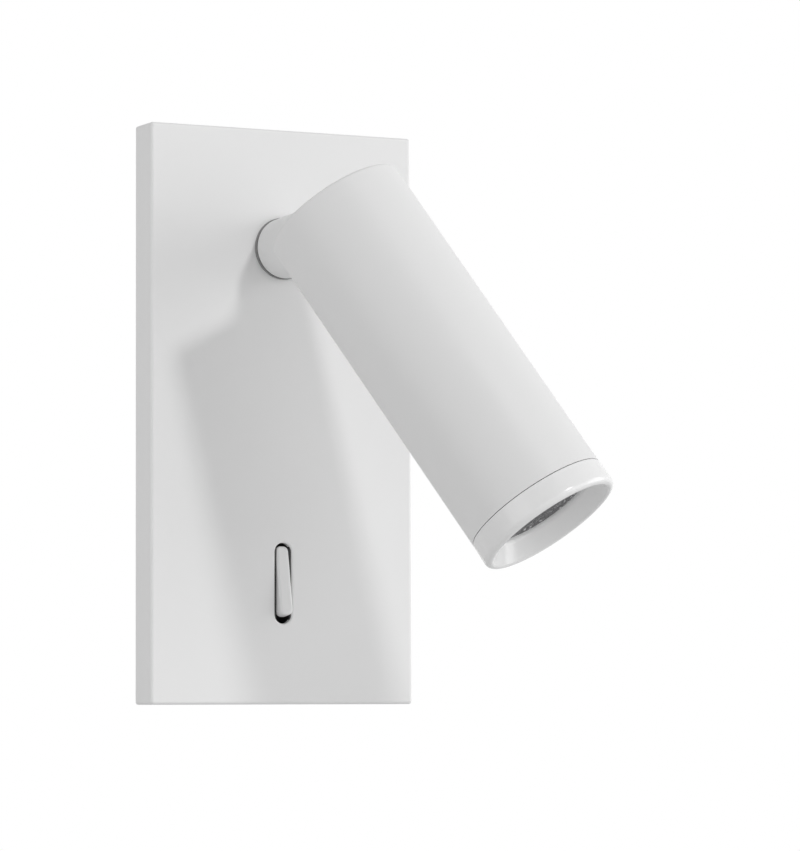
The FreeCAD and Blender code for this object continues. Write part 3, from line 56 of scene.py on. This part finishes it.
# Studio. A small soft key lamp above and in front throws the head's shadow down the plate. Broad
# panels and a pale room fill the rest, and what the camera sees of the room is white. Each lamp
# is a disc, with its place and its width in metres and its power in watts.
lamp_target = Vector((0.0, -0.03, 0.0))
lamps = {
    "key": ((0.50, -2.00, 1.40), 0.32, 14.5),
    "right_panel": ((2.20, -0.60, 0.40), 1.60, 15.6),
    "front_right_panel": ((1.60, -2.00, 0.10), 1.60, 9.1),
    "left_panel": ((-2.20, -0.90, 0.30), 1.60, 5.4),
    "front_left_panel": ((-0.90, -2.30, 0.20), 1.40, 3.9),
    "rear_left_panel": ((-1.80, 0.90, 0.00), 1.40, 5.5),
}
for name, (place, width, power) in lamps.items():
    lamp = bpy.data.objects.new(name, bpy.data.lights.new(name, "AREA"))
    lamp.data.shape = "DISK"
    lamp.data.size = width
    lamp.data.energy = power
    lamp.location = place
    lamp.rotation_euler = (lamp_target - Vector(place)).to_track_quat("-Z", "Y").to_euler()
    scene.collection.objects.link(lamp)

room_light = 0.384
white_light = 1.0
world = bpy.data.worlds.new("room")
scene.world = world
world.use_nodes = True
room = world.node_tree
room.nodes.clear()


def add_node(tree, kind, inputs=None, **settings):
    """One shader node with its settings. Each input is a value, or a socket to link from."""
    node = tree.nodes.new(kind)
    for name, setting in settings.items():
        setattr(node, name, setting)
    for name, value in (inputs or {}).items():
        if isinstance(value, bpy.types.NodeSocket):
            tree.links.new(value, node.inputs[name])
        else:
            node.inputs[name].default_value = value
    return node


def add_math(tree, operation, first, second, **settings):
    """The result of a Math node."""
    return add_node(tree, "ShaderNodeMath", {0: first, 1: second}, operation=operation,
                    **settings).outputs[0]


def seen_directly(tree):
    """1 for rays that the camera, a mirror or clear glass sends out, else 0."""
    path = add_node(tree, "ShaderNodeLightPath").outputs
    seen = add_math(tree, "ADD", path["Is Camera Ray"], path["Is Glossy Ray"])
    return add_math(tree, "ADD", seen, path["Is Transmission Ray"], use_clamp=True)


dim = add_node(room, "ShaderNodeBackground", {"Color": (1, 1, 1, 1), "Strength": room_light})
white = add_node(room, "ShaderNodeBackground", {"Color": (1, 1, 1, 1), "Strength": white_light})
room_mix = add_node(room, "ShaderNodeMixShader",
                    {0: seen_directly(room), 1: dim.outputs[0], 2: white.outputs[0]})
add_node(room, "ShaderNodeOutputWorld", {"Surface": room_mix.outputs[0]})

# Floor. A pale matte disc below the lamp, which takes the lamp's shadow and fades into the white
# room towards its rim. From below it is clear, so that the lamp can be seen from there too.
floor_drop = 0.22
floor_radius = 1.1
floor_sides = 96
fade_start = 0.4
floor_colour = (0.88, 0.88, 0.88, 1)
floor_mesh = bpy.data.meshes.new("floor")
form = bmesh.new()
bmesh.ops.create_circle(form, cap_ends=True, segments=floor_sides, radius=floor_radius)
bmesh.ops.translate(form, verts=form.verts, vec=(0, 0, -floor_drop))
form.to_mesh(floor_mesh)
form.free()
floor = bpy.data.objects.new("floor", floor_mesh)
scene.collection.objects.link(floor)
floor_paint = bpy.data.materials.new("floor_paint")
floor_paint.use_nodes = True
tree = floor_paint.node_tree
tree.nodes.clear()
place = add_node(tree, "ShaderNodeTexCoord").outputs["Object"]
reach = add_node(tree, "ShaderNodeVectorMath", {0: place}, operation="LENGTH").outputs["Value"]
fade = add_node(tree, "ShaderNodeMapRange",
                {"Value": reach, "From Min": fade_start, "From Max": floor_radius})
paint = add_node(tree, "ShaderNodeBsdfDiffuse", {"Color": floor_colour})
glow = add_node(tree, "ShaderNodeEmission", {"Strength": white_light})
share = add_math(tree, "MULTIPLY", fade.outputs[0], seen_directly(tree))
floor_mix = add_node(tree, "ShaderNodeMixShader",
                     {0: share, 1: paint.outputs[0], 2: glow.outputs[0]})
underside = add_node(tree, "ShaderNodeNewGeometry").outputs["Backfacing"]
clear = add_node(tree, "ShaderNodeBsdfTransparent")
one_sided = add_node(tree, "ShaderNodeMixShader",
                     {0: underside, 1: floor_mix.outputs[0], 2: clear.outputs[0]})
add_node(tree, "ShaderNodeOutputMaterial", {"Surface": one_sided.outputs[0]})
floor_mesh.materials.append(floor_paint)

# Wall bracket. Zinc-plated sheet steel, stamped with slots, a raised ring for the cable entry and
# a window behind the neck. It is screwed to the wall first, and the other parts of the wall unit
# are fixed to it.
fine_grain = 0.0005
broad_mottle = 0.02
cloud_roughness = 0.55
mottle_low, mottle_high = 0.3, 0.7
sheen_share = 0.08
colour_a, colour_b, colour_mixed = 6, 7, 2


def make_grain_group():
    """Fine surface grain and a broad mottle, both from Object coordinates in metres."""
    tree = bpy.data.node_groups.new("surface_grain", "ShaderNodeTree")
    layers = (("Grain", fine_grain, 3.0), ("Mottle", broad_mottle, 2.0))
    tree.interface.new_socket("Coordinates", in_out="INPUT", socket_type="NodeSocketVector")
    for name, size, detail in layers:
        socket = tree.interface.new_socket(name + " Size", in_out="INPUT",
                                           socket_type="NodeSocketFloat")
        socket.default_value = size
    for name, size, detail in layers:
        tree.interface.new_socket(name, in_out="OUTPUT", socket_type="NodeSocketFloat")
    inputs = add_node(tree, "NodeGroupInput").outputs
    outputs = add_node(tree, "NodeGroupOutput").inputs
    for name, size, detail in layers:
        scale = add_math(tree, "DIVIDE", 1.0, inputs[name + " Size"])
        clouds = add_node(tree, "ShaderNodeTexNoise",
                          {"Vector": inputs["Coordinates"], "Scale": scale, "Detail": detail,
                           "Roughness": cloud_roughness})
        tree.links.new(clouds.outputs[0], outputs[name])
    return tree


surface_grain = make_grain_group()


def mix_colours(tree, factor, first, second):
    """The colour between two others, which are values or sockets."""
    return add_node(tree, "ShaderNodeMix", {"Factor": factor, colour_a: first, colour_b: second},
                    data_type="RGBA").outputs[colour_mixed]


def make_finish(name, colour, roughness, metallic=0.0, grain=fine_grain, mottle=broad_mottle,
                depth=0.00001, tone=0.04, stretch=(1.0, 1.0, 1.0)):
    """A finish with grain of a real depth, a tone that varies by a small share, and a roughness
    that follows it."""
    material = bpy.data.materials.new(name)
    material.use_nodes = True
    tree = material.node_tree
    shader = tree.nodes["Principled BSDF"].inputs
    place = add_node(tree, "ShaderNodeTexCoord").outputs["Object"]
    mapping = add_node(tree, "ShaderNodeMapping", {"Vector": place, "Scale": stretch})
    texture = add_node(tree, "ShaderNodeGroup", {"Coordinates": mapping.outputs[0],
                                                 "Grain Size": grain, "Mottle Size": mottle},
                       node_tree=surface_grain).outputs
    dark = [channel * (1 - tone) for channel in colour]
    light = [channel * (1 + tone) for channel in colour]
    tint = mix_colours(tree, texture["Mottle"], (*dark, 1), (*light, 1))
    tree.links.new(tint, shader["Base Color"])
    sheen = add_node(tree, "ShaderNodeMapRange",
                     {"Value": texture["Mottle"], "From Min": mottle_low,
                      "From Max": mottle_high, "To Min": roughness * (1 - sheen_share),
                      "To Max": roughness * (1 + sheen_share)})
    tree.links.new(sheen.outputs[0], shader["Roughness"])
    bump = add_node(tree, "ShaderNodeBump",
                    {"Height": texture["Grain"], "Strength": 1.0, "Distance": depth})
    tree.links.new(bump.outputs[0], shader["Normal"])
    shader["Metallic"].default_value = metallic
    return material


def dress(material, *nodes):
    """Give solids their finish."""
    for name in nodes:
        frame["nodes"][name].material_slots[0].material = material


zinc_sheet = make_finish("zinc_sheet", (0.60, 0.61, 0.63), 0.34, metallic=1.0, grain=0.0012,
                         mottle=0.006, depth=0.000004, tone=0.10, stretch=(1.0, 1.0, 0.12))
dress(zinc_sheet, "wall_bracket")

# Cable entry. A black rubber grommet, pressed into the bracket's raised ring, through which the
# mains cable comes out of the wall.
black_rubber = make_finish("grommet_rubber", (0.022, 0.022, 0.024), 0.72, grain=0.0004,
                           depth=0.00002, tone=0.2)
dress(black_rubber, "cable_grommet")

# Terminals. A cream moulded block with brass clamp screws for the mains cable's cores, and a
# brass earth tag under a plated screw in the bracket.
cream_moulding = make_finish("cream_moulding", (0.74, 0.70, 0.58), 0.45, depth=0.000006)
brass = make_finish("brass", (0.78, 0.58, 0.26), 0.28, metallic=1.0, grain=0.0006,
                    mottle=0.003, depth=0.000004, tone=0.12)
plated_screw = make_finish("plated_screw", (0.56, 0.57, 0.58), 0.26, metallic=1.0,
                           mottle=0.002, depth=0.000003, tone=0.10)
dress(cream_moulding, "terminal_block")
dress(brass, "terminal_screws", "earth_lug")
dress(plated_screw, "earth_screw")

# Leads. Single cores in coloured insulation, which join the terminals, the switch and the driver.
# The earth lead is green, with a yellow stripe that winds round its core.
stripe_scale = 60.0
stripe_start, stripe_end = 0.55, 0.62
stripe_colour = (0.72, 0.60, 0.04, 1)
brown_insulation = make_finish("brown_insulation", (0.16, 0.065, 0.03), 0.42, depth=0.000008,
                               tone=0.1)
blue_insulation = make_finish("blue_insulation", (0.03, 0.12, 0.42), 0.42, depth=0.000008,
                              tone=0.1)
striped_insulation = make_finish("striped_insulation", (0.06, 0.30, 0.06), 0.42, depth=0.000008,
                                 tone=0.1)
tree = striped_insulation.node_tree
base_colour = tree.nodes["Principled BSDF"].inputs["Base Color"]
place = add_node(tree, "ShaderNodeTexCoord").outputs["Object"]
bands = add_node(tree, "ShaderNodeTexWave", {"Vector": place, "Scale": stripe_scale},
                 bands_direction="DIAGONAL")
stripe = add_node(tree, "ShaderNodeMapRange", {"Value": bands.outputs["Fac"],
                                               "From Min": stripe_start, "From Max": stripe_end})
tree.links.new(mix_colours(tree, stripe.outputs[0], base_colour.links[0].from_socket,
                           stripe_colour), base_colour)
dress(brown_insulation, "live_lead", "switched_lead")
dress(blue_insulation, "neutral_lead")
dress(striped_insulation, "earth_lead")

# Driver. A grey moulded case with a snap-in lid, fixed to the bracket, which holds a green board,
# a coil and a capacitor. A black sheathed cable takes its low voltage to the neck.
grey_moulding = make_finish("grey_moulding", (0.34, 0.35, 0.36), 0.5)
board_lacquer = make_finish("board_lacquer", (0.03, 0.17, 0.07), 0.3, grain=0.0009,
                            mottle=0.002, tone=0.25)
coil_wire = make_finish("coil_wire", (0.52, 0.24, 0.10), 0.35, metallic=0.6, grain=0.0008,
                        mottle=0.003, depth=0.0001, tone=0.25, stretch=(0.05, 1.0, 1.0))
capacitor_sleeve = make_finish("capacitor_sleeve", (0.04, 0.05, 0.12), 0.3, depth=0.000006,
                               tone=0.1)
cable_sheath = make_finish("cable_sheath", (0.02, 0.02, 0.021), 0.45, depth=0.000012, tone=0.15)
dress(grey_moulding, "driver_case", "driver_lid")
dress(board_lacquer, "driver_board")
dress(coil_wire, "driver_coil")
dress(capacitor_sleeve, "driver_capacitor")
dress(cable_sheath, "driver_output_cable")

# Wall plate. A shallow tray of white powder-coated metal that hangs over the bracket, held by a
# screw in its top edge and one in its bottom edge. Its front has the slot for the rocker and the
# hole for the neck.
plate_coat = make_finish("plate_coat", (0.815, 0.815, 0.815), 0.48, grain=0.0006, mottle=0.03,
                         depth=0.0000025, tone=0.006)
dress(plate_coat, "wall_plate")
dress(plated_screw, "cover_screws")

# Switch. A black moulded housing behind the slot, held by two screws, with brass contacts, and a
# white moulded rocker that tips on a steel pin.
black_moulding = make_finish("black_moulding", (0.036, 0.036, 0.037), 0.5, tone=0.1)
white_rocker = make_finish("white_rocker", (0.80, 0.80, 0.80), 0.36, grain=0.0003,
                           mottle=0.008, depth=0.000002, tone=0.008)
dress(black_moulding, "switch_housing")
dress(white_rocker, "rocker")
dress(brass, "contact_spring", "switch_terminals")
dress(plated_screw, "rocker_pin", "switch_screws")

# Neck. A turned arm with the plate's white coat, clamped in the plate by a plated nut over nylon
# and steel washers. The black low-voltage cable runs through its middle to a hollow bolt across
# its tongue, which carries the head.
# The nylon washers are dark grey. Under the neck's foot, the friction washer's dark tone is
# partly painted shade for the shadow gap between the neck and the plate.
dark_nylon_and_gap_shade = make_finish("dark_nylon_and_gap_shade", (0.24, 0.24, 0.24), 0.6, tone=0.1)
plated_steel = make_finish("plated_steel", (0.60, 0.61, 0.63), 0.3, metallic=1.0, grain=0.0007,
                           mottle=0.004, depth=0.000004, tone=0.08)
dress(plate_coat, "neck_arm")
dress(dark_nylon_and_gap_shade, "friction_washer", "slide_washer", "tilt_washers")
dress(plated_steel, "neck_nut", "stop_washer", "tilt_bolt", "tilt_nut")
dress(plated_screw, "wave_washer", "spring_washer")
dress(cable_sheath, "neck_cable")

# Head. A metal tube with the plate's white coat, painted a shade darker than the plate's as
# painted shade on the tube. A plated yoke inside it, held by a screw, hangs on the neck's bolt.
head_coat_painted_shade = make_finish("head_coat_painted_shade", (0.78, 0.78, 0.78), 0.48, grain=0.0006, mottle=0.03,
                        depth=0.0000025, tone=0.006)
dress(head_coat_painted_shade, "head_tube")
dress(plated_steel, "tilt_yoke")
dress(plated_screw, "yoke_screw")
dress(cable_sheath, "head_cable")

# Light source. A turned aluminium heat sink carries a white board with a yellow light source. A
# black moulded holder in front of it takes the lens and its rubber gasket.
turned_aluminium = make_finish("turned_aluminium", (0.68, 0.68, 0.69), 0.3, metallic=1.0,
                               grain=0.0006, mottle=0.004, depth=0.000005, tone=0.06)
board_mask = make_finish("board_mask", (0.78, 0.78, 0.76), 0.35, depth=0.000005, tone=0.02)
phosphor = make_finish("phosphor", (0.80, 0.62, 0.08), 0.4, grain=0.0003, tone=0.06)
dress(turned_aluminium, "heat_sink")
dress(board_mask, "led_board")
dress(phosphor, "led_chip")
dress(plated_screw, "board_screws")
dress(black_moulding, "lens_holder")
dress(black_rubber, "lens_gasket")

# Bezel. A glossy white moulding with a full round lip, screwed into the tube's front against the
# lens.
gloss_white = make_finish("gloss_white", (0.835, 0.835, 0.835), 0.20, grain=0.0012,
                          depth=0.0000015, tone=0.006)
dress(gloss_white, "bezel")

# Lens. A clear moulding with a pebbled face, clamped behind the bezel. The well behind it is
# black, so it looks dark. On only some pebbles, most of them near the rim, glints of the bright
# optics are painted into the colour. The pebbles rise and sink by half their depth from the plain
# face.
flange_step = 0.00175
flange_thickness = 0.0014
face_rise = 0.0009
tail_radius = 0.0050
pebble_pitch = 0.0012
pebble_depth = 0.00045
dome_reach = 0.7
face_rings = 84
face_turns = 360
merge_distance = 0.000001
level_tolerance = 0.00001

# The neck hangs straight down in the middle of the swivel's range, and the head is parallel to
# the wall at the start of the tilt's range, so the two ranges give the head's place at rest.
joints = {joint["name"]: joint for joint in frame["joints"]}
pivot = Vector(joints["head_tilt"]["pos_m"])
swivel = math.radians(sum(joints["neck_swivel"]["range_deg"]) / 2)
tilt = math.radians(joints["head_tilt"]["range_deg"][0])
head_place = (Matrix.Translation(pivot) @ Matrix.Rotation(swivel, 4, "Y")
              @ Matrix.Rotation(tilt, 4, "X"))
blank = [head_place.inverted() @ vert.co for vert in frame["nodes"]["lens"].data.vertices]
lens_front = min(spot.z for spot in blank)
lens_tail = max(spot.z for spot in blank)
flange_radius = max(math.hypot(spot.x, spot.y) for spot in blank)
face_radius = flange_radius - flange_step
face_height = lens_front - pebble_depth / 2
lens_rim = lens_front + face_rise
flange_back = lens_rim + flange_thickness

# The lens is a full turn of its half section, which has fine rings across the face. Then the face
# is pressed into uneven domes.
form = bmesh.new()
outline = [(face_radius * step / face_rings, face_height) for step in range(face_rings + 1)]
outline += [(face_radius, lens_rim), (flange_radius, lens_rim), (flange_radius, flange_back),
            (face_radius, flange_back), (tail_radius, lens_tail), (0.0, lens_tail)]
corners = [form.verts.new((radius, 0.0, height)) for radius, height in outline]
sections = [form.edges.new(pair) for pair in zip(corners, corners[1:])]
bmesh.ops.spin(form, geom=corners + sections, cent=(0, 0, 0), axis=(0, 0, 1), angle=math.tau,
               steps=face_turns, use_merge=True)
bmesh.ops.remove_doubles(form, verts=form.verts, dist=merge_distance)
for vert in form.verts:
    edge_share = min(1.0, (face_radius - math.hypot(vert.co.x, vert.co.y)) / pebble_pitch)
    if abs(vert.co.z - face_height) < level_tolerance and edge_share > 0:
        from_crown = noise.voronoi(vert.co / pebble_pitch)[0][0]
        vert.co.z += pebble_depth * edge_share * min(1.0, (from_crown / dome_reach) ** 2)
bmesh.ops.recalc_face_normals(form, faces=form.faces)
bmesh.ops.transform(form, matrix=head_place, verts=form.verts)
lens_mesh = bpy.data.meshes.new("pebbled_lens")
form.to_mesh(lens_mesh)
form.free()
for face in lens_mesh.polygons:
    face.use_smooth = True
lens = bpy.data.objects.new("pebbled_lens", lens_mesh)
scene.collection.objects.link(lens)

# Painted glints: a pebble's colour is painted bright where its random value is over a limit,
# which falls from the middle of the face to its rim. The painted glint fades from the pebble's
# middle to its edge.
painted_glint_colour = (0.62, 0.62, 0.63, 1)
painted_glint_start = 0.008
middle_limit, rim_limit = 0.92, 0.48
painted_glint_edge, painted_glint_middle = 0.50, 0.10
lens_clear = make_finish("lens_clear", (0.12, 0.12, 0.125), 0.08, grain=0.0004, mottle=0.004,
                         depth=0.000004, tone=0.3)
tree = lens_clear.node_tree
base_colour = tree.nodes["Principled BSDF"].inputs["Base Color"]
place = add_node(tree, "ShaderNodeTexCoord").outputs["Object"]
on_axis = add_node(tree, "ShaderNodeMapping",
                   {"Vector": place, "Location": head_place.to_translation(),
                    "Rotation": head_place.to_euler()}, vector_type="TEXTURE")
across = add_node(tree, "ShaderNodeVectorMath", {0: on_axis.outputs[0], 1: (1, 1, 0)},
                  operation="MULTIPLY")
radius = add_node(tree, "ShaderNodeVectorMath", {0: across.outputs[0]}, operation="LENGTH")
limit = add_node(tree, "ShaderNodeMapRange",
                 {"Value": radius.outputs["Value"], "From Min": painted_glint_start,
                  "From Max": face_radius, "To Min": middle_limit, "To Max": rim_limit})
cells = add_node(tree, "ShaderNodeTexVoronoi", {"Vector": place, "Scale": 1 / pebble_pitch})
chance = add_node(tree, "ShaderNodeSeparateColor", {"Color": cells.outputs["Color"]})
painted_glint_mask = add_math(tree, "GREATER_THAN", chance.outputs["Red"], limit.outputs[0])
painted_glint_fade = add_node(tree, "ShaderNodeMapRange", {"Value": cells.outputs["Distance"],
                                              "From Min": painted_glint_edge, "From Max": painted_glint_middle})
share = add_math(tree, "MULTIPLY", painted_glint_mask, painted_glint_fade.outputs[0])
tree.links.new(mix_colours(tree, share, base_colour.links[0].from_socket, painted_glint_colour),
               base_colour)
lens_mesh.materials.append(lens_clear)
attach(lens, "head")
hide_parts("lens")
